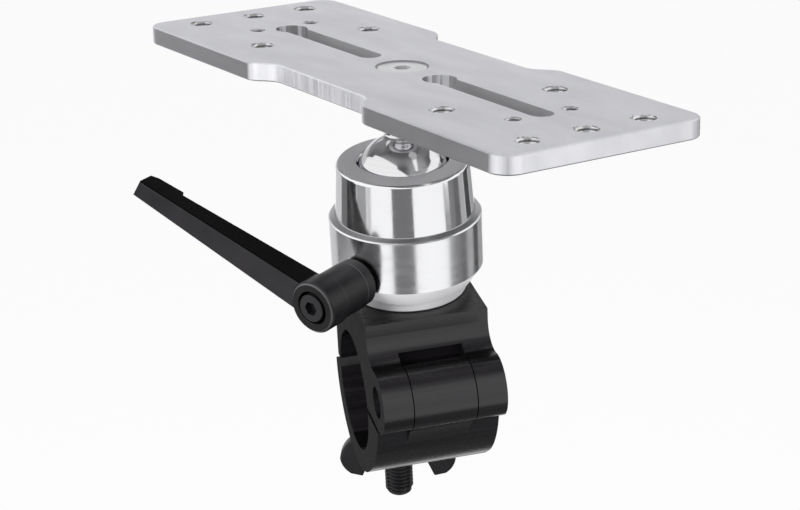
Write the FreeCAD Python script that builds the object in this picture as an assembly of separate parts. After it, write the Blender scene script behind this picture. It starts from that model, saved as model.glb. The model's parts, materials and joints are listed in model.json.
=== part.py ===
import FreeCAD, Part

import math
import os

# Camera mounting plate: a drilled and slotted aluminium plate on a polished ball head,
# carried by a hinged half coupler that closes round a 48.3 mm tube with a swing bolt and wing nut.
# Millimetres. +X along the plate, +Z square to its top face, origin at the middle of the tube bore.
# The clamp and the ball head stand on an axis of their own, which leans under the level plate:
# they are drawn upright in clamp axes (x towards the hinge, y along the tube, z up the head)
# and are then placed.

V = FreeCAD.Vector
X_AXIS = V(1, 0, 0)
Y_AXIS = V(0, 1, 0)
Z_AXIS = V(0, 0, 1)

# Stance of the clamp under the level plate, in degrees
CLAMP_PAN = -19.7
HEAD_LEAN = 7.4
LEAN_TOWARDS = -48.0

# Top plate
PLATE_LENGTH = 250.0
PLATE_WIDTH = 88.4
PLATE_THICKNESS = 7.2
WAIST_SET_BACK = 7.45
WAIST_HALF_LENGTH = 32.0
WAIST_BLEND = 8.0
PLATE_CORNER = 8.0
PLATE_EDGE = 0.5
END_HOLES_FROM_END = 12.5
SMALL_HOLES_FROM_END = 37.5
INNER_HOLES_FROM_END = 62.5
HOLES_PITCH_Y = 25.0
LARGE_TAP_RADIUS = 4.0
LARGE_THREAD_RADIUS = 4.76
SMALL_TAP_RADIUS = 2.6
SMALL_THREAD_RADIUS = 3.18
SLOT_WIDTH = 9.2
KEYHOLE_RADIUS = 6.5
LEFT_SLOT_FROM_END = 43.5
LEFT_SLOT_FROM_MIDDLE = 22.8
RIGHT_SLOT_FROM_MIDDLE = 25.0
RIGHT_SLOT_FROM_END = 37.8

# Countersunk screw through the plate
PLATE_SCREW_RADIUS = 5.0
PLATE_SINK_RADIUS = 10.3
PLATE_SCREW_HEAD_RADIUS = 9.5
PLATE_SCREW_HEAD_SINK = 0.5
PLATE_SCREW_HEAD_EDGE = 0.3
PLATE_SCREW_SOCKET = 6.0
PLATE_SCREW_SOCKET_DEPTH = 3.6
PLATE_SCREW_ENGAGEMENT = 16.0

# Ball with its neck and flange
BALL_RADIUS = 18.0
BALL_BELOW_PLATE_TOP = 43.6
NECK_RADIUS = 7.0
NECK_BLEND = 2.5
FLANGE_RADIUS = 17.0
FLANGE_THICKNESS = 4.5

# Ball head, stacked up from the saddle: base, body, collar and ball
BASE_THICKNESS = 4.4
BASE_SET_BACK = 2.2
BODY_HEIGHT = 28.0
BODY_OUTSIDE_BALL = 11.8
BODY_EDGE = 0.5
BODY_CONE_HEIGHT = 6.8
BODY_CONE_TAPER = 4.8
BODY_WALL = 5.3
LEDGE_RISE = 1.0
BALL_ABOVE_BODY = 14.7
COLLAR_TOP_ABOVE_BALL = 7.8
COLLAR_TOP_FALL = 0.7
COLLAR_SET_BACK = 2.7
COLLAR_TAPER = 1.3
COLLAR_EDGE = 1.4
MOUTH_OUTSIDE_BALL = 0.1
MOUTH_CHAMFER = 2.6
BALL_CLEARANCE = 0.3
SPIGOT_LENGTH = 8.2
CUP_INSIDE_BALL = 2.0
CUP_TOP_BELOW_BALL = 10.0
CUP_FOOT_ABOVE_STUD = 6.6
CUP_TIP_BELOW_STUD = 2.6
CUP_CONE_RADIUS = 10.0
CUP_CONE_TIP_RADIUS = 5.0
SLIDE_GAP = 0.3
WELL_GAP = 1.0
WELL_FLOOR_GAP = 1.2

# Clamping lever: the stud crosses the head's axis, and the hub's lengths are from the body's side
STUD_ABOVE_BODY_FOOT = 10.4
STUD_DIRECTION = -52.2
STUD_RADIUS = 5.0
FIT = 0.05
PAD_RADIUS = 4.9
PAD_OUTER = 14.6
INSERT_FROM_BODY = 1.3
INSERT_LENGTH = 12.3
INSERT_ROOT_RADIUS = 5.9
INSERT_TIP_RADIUS = 6.6
SERRATIONS = 16
SERRATION_GAP = 0.2
HUB_FROM_BODY = 1.0
SLEEVE_LENGTH = 4.7
HUB_WAIST_LENGTH = 12.7
HUB_HEAD_LENGTH = 9.6
SLEEVE_RADIUS = 9.4
HUB_RADIUS = 9.7
HUB_HEAD_RADIUS = 10.3
HUB_EDGE = 0.5
WEB_GAP = 0.4
WEB_THICKNESS = 2.2
HUB_RECESS_RADIUS = 6.8
LEVER_SCREW_RADIUS = 3.0
LEVER_SCREW_HEAD_RADIUS = 5.5
LEVER_SCREW_HEAD = 5.6
LEVER_SCREW_PROUD = 0.6
LEVER_SCREW_SOCKET = 5.0
LEVER_SCREW_SOCKET_DEPTH = 3.0
LEVER_SCREW_ENGAGEMENT = 8.4
SCREW_PASSAGE = 0.5
SPRING_WIRE = 0.8
SPRING_RADIUS = 4.6
SPRING_TURNS = 3
ARM_ANGLE = 17.2
ARM_LENGTH = 94.3
ARM_END_SLANT = 2.4
ARM_ROOT_WIDTH = 12.8
ARM_TIP_WIDTH = 8.0
ARM_FACE_SET_BACK = 1.0
ARM_ROOT_DEPTH = 10.8
ARM_TIP_DEPTH = 5.8
ARM_EDGE = 0.7
THUMB_PAD_START = 76.0
THUMB_PAD_LENGTH = 12.5
THUMB_PAD_HEIGHT = 1.7

# Half coupler
BORE_RADIUS = 24.25
CLAMP_WIDTH = 48.5
SADDLE_TOP = 42.4
SADDLE_HALF_DEPTH = 28.5
SADDLE_BLEND = 9.0
HINGE_X = 42.0
HINGE_Z = 16.5
KNUCKLE_RADIUS = 12.3
KNUCKLE_WIDTH = 24.6
KNUCKLE_GAP = 0.4
POCKET_TOP = 30.6
HINGE_PIN_RADIUS = 5.0
PIN_RECESS_RADIUS = 6.2
PIN_RECESS_DEPTH = 4.0
SADDLE_UNDERSIDE_FRONT = 4.6
SADDLE_UNDERSIDE_REAR = 2.0
EYE_X = -34.2
EYE_Z = 14.0
EAR_RADIUS = 11.0
LUG_WIDTH = 36.0
EYE_RADIUS = 9.8
EYE_WIDTH = 12.4
EYE_PIN_RADIUS = 4.0
EYE_GAP = 0.4
PIN_HEAD_RADIUS = 5.4
PIN_HEAD = 2.5
JAW_LEDGE = 2.4
JAW_FRONT_X = 41.0
JAW_FRONT_RADIUS = 46.0
JAW_OUTER_RADIUS = 33.4
JAW_REAR_TOP = -2.0
KNUCKLE_WEB_DROP = 7.0
KNUCKLE_WEB_SET_BACK = 2.2
KNUCKLE_WEB_DIP = 1.6
LUG_END_X = -47.5
SEAT_RADIUS = 48.0
LUG_CORNER = 5.0
CLAMP_EDGE = 0.6

# Swing bolt, washer and wing nut
BOLT_RADIUS = 6.0
BOLT_END = -71.6
BOLT_TIP = 1.2
BOLT_SLOT_GAP = 0.6
SEAT_GAP = 0.15
WASHER_RADIUS = 12.0
WASHER_THICKNESS = 2.5
NUT_GAP = 0.1
NUT_HUB_RADIUS = 10.5
NUT_HUB_TIP_RADIUS = 9.0
NUT_HUB_HEIGHT = 17.0
WING_SPAN = 49.6
WING_THICKNESS = 5.0
WING_TURN = 17.5
WING_ROOT_TOP = 3.5
WING_ROOT_FOOT = 14.0
WING_SHOULDER = 7.0
WING_DROP = 26.6
WING_EDGE = 0.8

# Bolt that holds the head on the saddle, put in from the bore
HEAD_BOLT_RADIUS = 5.0
HEAD_BOLT_HEAD_RADIUS = 9.0
HEAD_BOLT_HEAD = 5.0
HEAD_BOLT_SINK = 0.8
HEAD_BOLT_SOCKET = 6.0
HEAD_BOLT_BELOW_WELL = 0.6

# Places worked out from the sizes above: heights from the middle of the tube, and distances along the stud
BODY_FOOT = SADDLE_TOP + BASE_THICKNESS
BODY_TOP = BODY_FOOT + BODY_HEIGHT
BALL_HEIGHT = BODY_TOP + BALL_ABOVE_BODY
BODY_RADIUS = BALL_RADIUS + BODY_OUTSIDE_BALL
MOUTH_RADIUS = BALL_RADIUS + MOUTH_OUTSIDE_BALL
CUP_RADIUS = BALL_RADIUS - CUP_INSIDE_BALL
STUD_HEIGHT = BODY_FOOT + STUD_ABOVE_BODY_FOOT
CUP_FOOT_HEIGHT = STUD_HEIGHT + CUP_FOOT_ABOVE_STUD
CUP_TIP_HEIGHT = STUD_HEIGHT - CUP_TIP_BELOW_STUD
WELL_FLOOR = CUP_TIP_HEIGHT - WELL_FLOOR_GAP
WELL_RADIUS = CUP_CONE_RADIUS + WELL_GAP
SPIGOT_RADIUS = BODY_RADIUS - BODY_WALL
COLLAR_FOOT_RADIUS = BODY_RADIUS - COLLAR_SET_BACK
COLLAR_TOP_RADIUS = COLLAR_FOOT_RADIUS - COLLAR_TAPER
BODY_CONE_FOOT_RADIUS = BODY_RADIUS - BODY_CONE_TAPER
BASE_RADIUS = BODY_CONE_FOOT_RADIUS - BASE_SET_BACK
STUD_INNER = PAD_OUTER + SLIDE_GAP
INSERT_START = BODY_RADIUS + INSERT_FROM_BODY
INSERT_END = INSERT_START + INSERT_LENGTH
HUB_START = BODY_RADIUS + HUB_FROM_BODY
HUB_STEP = HUB_START + SLEEVE_LENGTH
HUB_SHOULDER = HUB_STEP + HUB_WAIST_LENGTH
HUB_FACE = HUB_SHOULDER + HUB_HEAD_LENGTH
WEB_INNER = INSERT_END + WEB_GAP
WEB_OUTER = WEB_INNER + WEB_THICKNESS
LEVER_SCREW_TIP = INSERT_END - LEVER_SCREW_ENGAGEMENT
END_HOLES_X = PLATE_LENGTH / 2 - END_HOLES_FROM_END
SMALL_HOLES_X = PLATE_LENGTH / 2 - SMALL_HOLES_FROM_END
INNER_HOLES_X = PLATE_LENGTH / 2 - INNER_HOLES_FROM_END
LEFT_SLOT = (LEFT_SLOT_FROM_END - PLATE_LENGTH / 2, -LEFT_SLOT_FROM_MIDDLE)
RIGHT_SLOT = (RIGHT_SLOT_FROM_MIDDLE, PLATE_LENGTH / 2 - RIGHT_SLOT_FROM_END)


def clamp_placement():
    """Clamp axes to the part's frame: pan about the vertical, then lean the head's axis."""
    pan = FreeCAD.Rotation(Z_AXIS, CLAMP_PAN)
    lean_about = V(-math.sin(math.radians(LEAN_TOWARDS)), math.cos(math.radians(LEAN_TOWARDS)), 0)
    lean = FreeCAD.Rotation(lean_about, HEAD_LEAN)
    return FreeCAD.Placement(V(0, 0, 0), lean.multiply(pan))


CLAMP = clamp_placement()
BALL_CENTRE = CLAMP.multVec(V(0, 0, BALL_HEIGHT))
PLATE_TOP = BALL_CENTRE + Z_AXIS * BALL_BELOW_PLATE_TOP


def placed(shape, placement):
    moved = shape.copy()
    moved.transformShape(placement.toMatrix(), True)
    return moved


def cylinder(radius, height, base, direction=Z_AXIS):
    return Part.makeCylinder(radius, height, base, direction)


def cone(radius_from, radius_to, height, base, direction=Z_AXIS):
    return Part.makeCone(radius_from, radius_to, height, base, direction)


def box(low, high):
    return Part.makeBox(high[0] - low[0], high[1] - low[1], high[2] - low[2], V(*low))


def line(a, b):
    return Part.LineSegment(a, b).toShape()


def arc(a, through, b):
    return Part.Arc(a, through, b).toShape()


def on_circle(centre, radius, degrees):
    """A point on a circle in the clamp's x-z plane."""
    angle = math.radians(degrees)
    return V(centre.x + radius * math.cos(angle), 0, centre.z + radius * math.sin(angle))


def turned(points):
    """A solid turned about Z from a closed outline of (radius, height) points."""
    outline = [V(r, 0, z) for r, z in points]
    wire = Part.makePolygon(outline + outline[:1])
    return Part.Face(wire).revolve(V(0, 0, 0), Z_AXIS, 360)


def extruded_y(edges, width):
    """A solid of the given width, centred on y = 0, from an outline in the x-z plane."""
    wire = Part.Wire(Part.__sortEdges__(edges))
    face = Part.Face(wire)
    face.translate(V(0, -width / 2, 0))
    return face.extrude(V(0, width, 0))


def hexagon_prism(across_flats, depth, base, direction=Z_AXIS):
    corner = across_flats / math.sqrt(3)
    points = [V(corner * math.cos(math.radians(60 * i)), corner * math.sin(math.radians(60 * i)), 0)
              for i in range(7)]
    prism = Part.Face(Part.makePolygon(points)).extrude(V(0, 0, depth))
    prism.Placement = FreeCAD.Placement(base, FreeCAD.Rotation(Z_AXIS, direction))
    return prism


def threaded_hole(x, y, tap_radius, thread_radius):
    """A through hole at its tap drill size, with its mouths opened to the thread's outer size."""
    mouth = thread_radius - tap_radius
    tool = cylinder(tap_radius, PLATE_THICKNESS, V(x, y, -PLATE_THICKNESS))
    tool = tool.fuse(cone(tap_radius, thread_radius, mouth, V(x, y, -mouth)))
    return tool.fuse(cone(thread_radius, tap_radius, mouth, V(x, y, -PLATE_THICKNESS)))


def plate_outline():
    """The plate's outline: wide ends, a waist between, and 45 degree shoulders."""
    quarter = [
        V(PLATE_LENGTH / 2, PLATE_WIDTH / 2, 0),
        V(WAIST_HALF_LENGTH + WAIST_SET_BACK, PLATE_WIDTH / 2, 0),
        V(WAIST_HALF_LENGTH, PLATE_WIDTH / 2 - WAIST_SET_BACK, 0),
    ]
    back = quarter + [V(-p.x, p.y, 0) for p in reversed(quarter)]
    front = [V(-p.x, -p.y, 0) for p in back]
    corners = back + front
    return Part.makePolygon(corners + corners[:1])


def keyhole_cutter(round_x, end_x):
    """A slot with a larger round hole at its -X end, for a screw's head to drop through."""
    slot = box((round_x, -SLOT_WIDTH / 2, -PLATE_THICKNESS), (end_x, SLOT_WIDTH / 2, 0))
    slot = slot.fuse(cylinder(SLOT_WIDTH / 2, PLATE_THICKNESS, V(end_x, 0, -PLATE_THICKNESS)))
    return slot.fuse(cylinder(KEYHOLE_RADIUS, PLATE_THICKNESS, V(round_x, 0, -PLATE_THICKNESS)))


def make_top_plate():
    blank = Part.Face(plate_outline()).extrude(V(0, 0, -PLATE_THICKNESS))
    upright = [e for e in blank.Edges if abs(e.tangentAt(e.FirstParameter).z) > 0.9]
    corners = [e for e in upright if abs(e.CenterOfMass.x) > PLATE_LENGTH / 2 - 1]
    shoulders = [e for e in upright if abs(e.CenterOfMass.x) < PLATE_LENGTH / 2 - 1]
    blank = blank.makeFillet(PLATE_CORNER, corners)
    places = [e.CenterOfMass for e in shoulders]
    again = [e for e in blank.Edges if any((e.CenterOfMass - p).Length < 0.01 for p in places)]
    blank = blank.makeFillet(WAIST_BLEND, again)
    rims = [e for e in blank.Edges if e.BoundBox.ZLength < 0.01]
    plate = blank.makeChamfer(PLATE_EDGE, rims)
    for side in (-1, 1):
        for row in (-1, 0, 1):
            plate = plate.cut(threaded_hole(side * END_HOLES_X, row * HOLES_PITCH_Y,
                                            LARGE_TAP_RADIUS, LARGE_THREAD_RADIUS))
        for row in (-1, 1):
            plate = plate.cut(threaded_hole(side * INNER_HOLES_X, row * HOLES_PITCH_Y,
                                            LARGE_TAP_RADIUS, LARGE_THREAD_RADIUS))
            plate = plate.cut(threaded_hole(side * SMALL_HOLES_X, row * HOLES_PITCH_Y / 2,
                                            SMALL_TAP_RADIUS, SMALL_THREAD_RADIUS))
    for round_x, end_x in (LEFT_SLOT, RIGHT_SLOT):
        plate = plate.cut(keyhole_cutter(round_x, end_x))
    sink = PLATE_SINK_RADIUS - PLATE_SCREW_RADIUS
    plate = plate.cut(turned([(0, 0), (PLATE_SINK_RADIUS, 0), (PLATE_SCREW_RADIUS, -sink),
                              (PLATE_SCREW_RADIUS, -PLATE_THICKNESS), (0, -PLATE_THICKNESS)]))
    plate.translate(PLATE_TOP)
    return plate


def make_plate_screw():
    """Countersunk socket screw, seated on the plate's cone just below its face."""
    top = -PLATE_SCREW_HEAD_SINK
    edge = top - PLATE_SCREW_HEAD_EDGE
    neck = PLATE_SCREW_RADIUS - PLATE_SINK_RADIUS
    tip = -PLATE_THICKNESS - PLATE_SCREW_ENGAGEMENT
    screw = turned([(0, top), (PLATE_SCREW_HEAD_RADIUS, top), (PLATE_SCREW_HEAD_RADIUS, edge),
                    (PLATE_SCREW_RADIUS, neck), (PLATE_SCREW_RADIUS, tip), (0, tip)])
    socket = hexagon_prism(PLATE_SCREW_SOCKET, PLATE_SCREW_SOCKET_DEPTH, V(0, 0, top - PLATE_SCREW_SOCKET_DEPTH))
    screw = screw.cut(socket)
    screw.translate(PLATE_TOP)
    return screw


def make_ball_stem():
    """Ball, neck and flange turned in one piece, tapped for the plate's screw."""
    under_plate = BALL_BELOW_PLATE_TOP - PLATE_THICKNESS
    ball = Part.makeSphere(BALL_RADIUS)
    neck = cylinder(NECK_RADIUS, under_plate, V(0, 0, 0))
    stem = ball.fuse(neck)
    joint = [e for e in stem.Edges if e.BoundBox.ZLength < 0.01 and 0 < e.BoundBox.ZMax < under_plate - 1]
    stem = stem.makeFillet(NECK_BLEND, joint)
    flange = cylinder(FLANGE_RADIUS, FLANGE_THICKNESS, V(0, 0, under_plate - FLANGE_THICKNESS))
    rims = [e for e in flange.Edges if e.BoundBox.ZLength < 0.01]
    stem = stem.fuse(flange.makeChamfer(PLATE_EDGE, rims))
    depth = PLATE_SCREW_ENGAGEMENT
    stem = stem.cut(cylinder(PLATE_SCREW_RADIUS + FIT, depth + 1, V(0, 0, under_plate - depth - 1)))
    stem.translate(BALL_CENTRE)
    return stem


def seat_radius_at(height_from_ball):
    return math.sqrt((BALL_RADIUS + BALL_CLEARANCE) ** 2 - height_from_ball ** 2)


def make_socket_ring():
    """Upper collar: a tapered ring that closes over the ball and screws into the body."""
    top = BALL_HEIGHT + COLLAR_TOP_ABOVE_BALL
    shoulder = BODY_TOP + LEDGE_RISE
    foot = shoulder - SPIGOT_LENGTH
    bore = CUP_RADIUS + SLIDE_GAP
    rim_height = top - COLLAR_TOP_FALL
    blank = turned([(0, top), (MOUTH_RADIUS, top), (COLLAR_TOP_RADIUS, rim_height), (COLLAR_FOOT_RADIUS, shoulder),
                    (SPIGOT_RADIUS, shoulder), (SPIGOT_RADIUS, foot), (0, foot)])
    rim = [e for e in blank.Edges if e.BoundBox.ZLength < 0.01 and abs(e.BoundBox.ZMax - rim_height) < 0.01]
    blank = blank.makeFillet(COLLAR_EDGE, rim)
    seat = Part.makeSphere(BALL_RADIUS + BALL_CLEARANCE, V(0, 0, BALL_HEIGHT))
    throat = seat_radius_at(COLLAR_TOP_ABOVE_BALL - MOUTH_CHAMFER)
    mouth = cone(throat, MOUTH_RADIUS, MOUTH_CHAMFER, V(0, 0, top - MOUTH_CHAMFER))
    cavity = seat.fuse(cylinder(bore, BALL_HEIGHT - foot, V(0, 0, foot))).fuse(mouth)
    return blank.cut(cavity)


def make_head_body():
    """Lower ring: carries the collar, the seat cup and the lever's stud."""
    ledge = BODY_TOP + LEDGE_RISE
    foot = BODY_FOOT
    spigot_floor = ledge - SPIGOT_LENGTH
    body = turned([(0, foot), (BODY_CONE_FOOT_RADIUS, foot), (BODY_RADIUS, foot + BODY_CONE_HEIGHT),
                   (BODY_RADIUS, BODY_TOP - BODY_EDGE), (BODY_RADIUS - BODY_EDGE, BODY_TOP),
                   (COLLAR_FOOT_RADIUS + SLIDE_GAP, ledge), (0, ledge)])
    body = body.cut(cylinder(SPIGOT_RADIUS, SPIGOT_LENGTH, V(0, 0, spigot_floor)))
    body = body.cut(cylinder(CUP_RADIUS + SLIDE_GAP, spigot_floor - CUP_FOOT_HEIGHT + SLIDE_GAP,
                             V(0, 0, CUP_FOOT_HEIGHT - SLIDE_GAP)))
    body = body.cut(cylinder(WELL_RADIUS, CUP_FOOT_HEIGHT - WELL_FLOOR, V(0, 0, WELL_FLOOR)))
    body = body.cut(cylinder(HEAD_BOLT_RADIUS, WELL_FLOOR - foot, V(0, 0, foot)))
    stud_hole = cylinder(STUD_RADIUS + FIT, BODY_RADIUS, V(0, 0, STUD_HEIGHT), stud_axis())
    return body.cut(stud_hole)


def make_seat_cup():
    """Cup under the ball: it turns with the ball, and the pad wedges it upwards."""
    top = BALL_HEIGHT - CUP_TOP_BELOW_BALL
    cup = turned([(0, top), (CUP_RADIUS, top), (CUP_RADIUS, CUP_FOOT_HEIGHT),
                  (CUP_CONE_RADIUS, CUP_FOOT_HEIGHT), (CUP_CONE_TIP_RADIUS, CUP_TIP_HEIGHT), (0, CUP_TIP_HEIGHT)])
    return cup.cut(Part.makeSphere(BALL_RADIUS + BALL_CLEARANCE, V(0, 0, BALL_HEIGHT)))


def make_head_base():
    """Base disc between the saddle and the body."""
    disc = cylinder(BASE_RADIUS, BASE_THICKNESS, V(0, 0, SADDLE_TOP))
    lower_rim = [e for e in disc.Edges if e.BoundBox.ZMax < SADDLE_TOP + 0.01]
    disc = disc.makeChamfer(PLATE_EDGE, lower_rim)
    return disc.cut(cylinder(HEAD_BOLT_RADIUS, BASE_THICKNESS, V(0, 0, SADDLE_TOP)))


def head_bolt_solid():
    """Socket head bolt from inside the bore, up through the saddle and base into the body."""
    head_top = BORE_RADIUS + HEAD_BOLT_SINK + HEAD_BOLT_HEAD
    head = cylinder(HEAD_BOLT_HEAD_RADIUS, HEAD_BOLT_HEAD, V(0, 0, head_top - HEAD_BOLT_HEAD))
    tip = WELL_FLOOR - HEAD_BOLT_BELOW_WELL
    return head.fuse(cylinder(HEAD_BOLT_RADIUS, tip - head_top, V(0, 0, head_top)))


def make_head_bolt():
    foot = BORE_RADIUS + HEAD_BOLT_SINK
    socket = hexagon_prism(HEAD_BOLT_SOCKET, HEAD_BOLT_HEAD / 2, V(0, 0, foot))
    return head_bolt_solid().cut(socket)


def stud_axis():
    angle = math.radians(STUD_DIRECTION)
    return V(math.cos(angle), math.sin(angle), 0)


def stud_placement():
    """Lever axes to clamp axes: z out along the stud, y up, x to the right seen from outside."""
    out = stud_axis()
    right = Z_AXIS.cross(out)
    turn = FreeCAD.Rotation(FreeCAD.Matrix(right.x, 0, out.x, 0, right.y, 0, out.y, 0, 0, 1, 0, 0, 0, 0, 0, 1))
    return FreeCAD.Placement(V(0, 0, STUD_HEIGHT), turn)


LEVER = CLAMP.multiply(stud_placement())


def make_brake_pad():
    """Pad between the stud and the cup, with its end cut to the cup's cone."""
    pad = cylinder(PAD_RADIUS, PAD_OUTER, V(0, 0, STUD_HEIGHT), stud_axis())
    slope = (CUP_CONE_RADIUS - CUP_CONE_TIP_RADIUS) / (CUP_FOOT_HEIGHT - CUP_TIP_HEIGHT)
    low = STUD_HEIGHT - STUD_RADIUS
    high = CUP_FOOT_HEIGHT
    radius_low = CUP_CONE_TIP_RADIUS + slope * (low - CUP_TIP_HEIGHT) + SLIDE_GAP
    radius_high = CUP_CONE_RADIUS + SLIDE_GAP
    clearance = cone(radius_low, radius_high, high - low, V(0, 0, low))
    below_floor = cylinder(BODY_RADIUS, WELL_FLOOR, V(0, 0, 0)).cut(
        cylinder(BODY_RADIUS, WELL_FLOOR, V(0, 0, 0)).common(
            cylinder(PAD_RADIUS + FIT, BODY_RADIUS, V(0, 0, STUD_HEIGHT) + stud_axis() * WELL_RADIUS, stud_axis())))
    return pad.cut(clearance).cut(below_floor)


def serrated(root_radius, tip_radius, low, high):
    """A toothed cylinder about z: trapezoid teeth round a core."""
    points = []
    step = 360.0 / SERRATIONS
    for i in range(SERRATIONS):
        for share, radius in ((-0.35, root_radius), (-0.15, tip_radius), (0.15, tip_radius), (0.35, root_radius)):
            angle = math.radians(step * (i + share))
            points.append(V(radius * math.cos(angle), radius * math.sin(angle), low))
    face = Part.Face(Part.makePolygon(points + points[:1]))
    return face.extrude(V(0, 0, high - low))


def make_lever_stud():
    """Threaded stud with the serrated insert that the lever's hub sits on."""
    stud = cylinder(STUD_RADIUS, INSERT_START - STUD_INNER, V(0, 0, STUD_INNER))
    insert = serrated(INSERT_ROOT_RADIUS, INSERT_TIP_RADIUS, INSERT_START, INSERT_END)
    stud = stud.fuse(insert)
    stud = stud.cut(cylinder(LEVER_SCREW_RADIUS, INSERT_END - LEVER_SCREW_TIP, V(0, 0, LEVER_SCREW_TIP)))
    return placed(stud, LEVER)


def arm_blank():
    """The flat tapered arm, drawn along -x from the hub, with the thumb pad at its end."""
    face_z = HUB_FACE - ARM_FACE_SET_BACK
    root = ARM_ROOT_WIDTH / 2
    tip = ARM_TIP_WIDTH / 2
    outline = [V(0, -root, 0), V(0, root, 0), V(-ARM_LENGTH + ARM_END_SLANT, tip, 0), V(-ARM_LENGTH, -tip, 0)]
    flat = Part.Face(Part.makePolygon(outline + outline[:1]))
    flat.translate(V(0, 0, face_z - ARM_ROOT_DEPTH - THUMB_PAD_HEIGHT))
    prism = flat.extrude(V(0, 0, ARM_ROOT_DEPTH + THUMB_PAD_HEIGHT))
    pad_end = THUMB_PAD_START + THUMB_PAD_LENGTH

    def depth_at(x):
        return ARM_ROOT_DEPTH + (ARM_TIP_DEPTH - ARM_ROOT_DEPTH) * x / ARM_LENGTH

    def side(x, extra=0.0):
        return V(-x, 0, face_z - depth_at(x) - extra)

    profile = [V(0, 0, face_z), V(-ARM_LENGTH, 0, face_z), side(ARM_LENGTH), side(pad_end, THUMB_PAD_HEIGHT),
               side(THUMB_PAD_START, THUMB_PAD_HEIGHT), side(THUMB_PAD_START), side(0)]
    slab = Part.Face(Part.makePolygon(profile + profile[:1])).extrude(V(0, ARM_ROOT_WIDTH, 0))
    slab.translate(V(0, -ARM_ROOT_WIDTH / 2, 0))
    arm = prism.common(slab)
    front = [e for e in arm.Edges if e.BoundBox.ZMin > face_z - 0.01 and e.BoundBox.XMin < -1]
    arm = arm.makeFillet(ARM_EDGE, front)
    arm.rotate(V(0, 0, 0), Z_AXIS, -ARM_ANGLE)
    return arm


def make_lever_arm():
    """Cast lever: stepped hub, flat arm, serrated bore, web and recess for the spring and screw."""
    hub = turned([(0, HUB_START), (SLEEVE_RADIUS - HUB_EDGE, HUB_START), (SLEEVE_RADIUS, HUB_START + HUB_EDGE),
                  (SLEEVE_RADIUS, HUB_STEP), (HUB_RADIUS, HUB_STEP + HUB_EDGE), (HUB_RADIUS, HUB_SHOULDER),
                  (HUB_HEAD_RADIUS, HUB_SHOULDER + HUB_EDGE), (HUB_HEAD_RADIUS, HUB_FACE - 2 * HUB_EDGE),
                  (HUB_HEAD_RADIUS - 2 * HUB_EDGE, HUB_FACE), (0, HUB_FACE)])
    lever = hub.fuse(arm_blank())
    bore = serrated(INSERT_ROOT_RADIUS + SERRATION_GAP, INSERT_TIP_RADIUS + SERRATION_GAP, HUB_START, WEB_INNER)
    lever = lever.cut(bore)
    lever = lever.cut(cylinder(LEVER_SCREW_RADIUS + SCREW_PASSAGE, HUB_FACE - HUB_START, V(0, 0, HUB_START)))
    lever = lever.cut(cylinder(HUB_RECESS_RADIUS, HUB_FACE - WEB_OUTER, V(0, 0, WEB_OUTER)))
    return placed(lever, LEVER)


def make_lever_screw():
    head_out = HUB_FACE + LEVER_SCREW_PROUD
    head_in = head_out - LEVER_SCREW_HEAD
    head = cylinder(LEVER_SCREW_HEAD_RADIUS, LEVER_SCREW_HEAD, V(0, 0, head_in))
    rim = [e for e in head.Edges if e.BoundBox.ZMin > head_out - 0.01]
    head = head.makeFillet(HUB_EDGE, rim)
    screw = head.fuse(cylinder(LEVER_SCREW_RADIUS, head_in - LEVER_SCREW_TIP, V(0, 0, LEVER_SCREW_TIP)))
    socket = hexagon_prism(LEVER_SCREW_SOCKET, LEVER_SCREW_SOCKET_DEPTH,
                           V(0, 0, head_out - LEVER_SCREW_SOCKET_DEPTH))
    return placed(screw.cut(socket), LEVER)


def make_lever_spring():
    """Spring between the hub's web and the screw's head, as a stack of closed turns."""
    low = WEB_OUTER
    high = HUB_FACE + LEVER_SCREW_PROUD - LEVER_SCREW_HEAD
    pitch = (high - low - 2 * SPRING_WIRE) / SPRING_TURNS
    helix = Part.makeHelix(pitch, pitch * SPRING_TURNS, SPRING_RADIUS)
    start = V(SPRING_RADIUS, 0, 0)
    section = Part.Wire(Part.makeCircle(SPRING_WIRE / 2, start, Y_AXIS))
    coil = Part.Wire(helix.Edges).makePipeShell([section], True, True)
    coil.translate(V(0, 0, low + SPRING_WIRE))
    return placed(coil, LEVER)


def knuckle_outline(face_x, centre, radius):
    """Where the saddle's upright face blends into a round lug: face end, mid-arc, tangent point."""
    side = math.copysign(1.0, face_x)
    blend_x = face_x + side * SADDLE_BLEND
    rise = math.sqrt((SADDLE_BLEND + radius) ** 2 - (centre.x - blend_x) ** 2)
    blend = V(blend_x, 0, centre.z + rise)
    towards = (centre - blend).normalize()
    touch = blend + towards * SADDLE_BLEND
    start = V(face_x, 0, blend.z)
    middle = blend + ((start - blend) + (touch - blend)).normalize() * SADDLE_BLEND
    return start, middle, touch


def hinge_centre():
    return V(HINGE_X, 0, HINGE_Z)


def eye_centre():
    return V(EYE_X, 0, EYE_Z)


def on_bore(z):
    return math.sqrt(BORE_RADIUS ** 2 - z ** 2)


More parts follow.
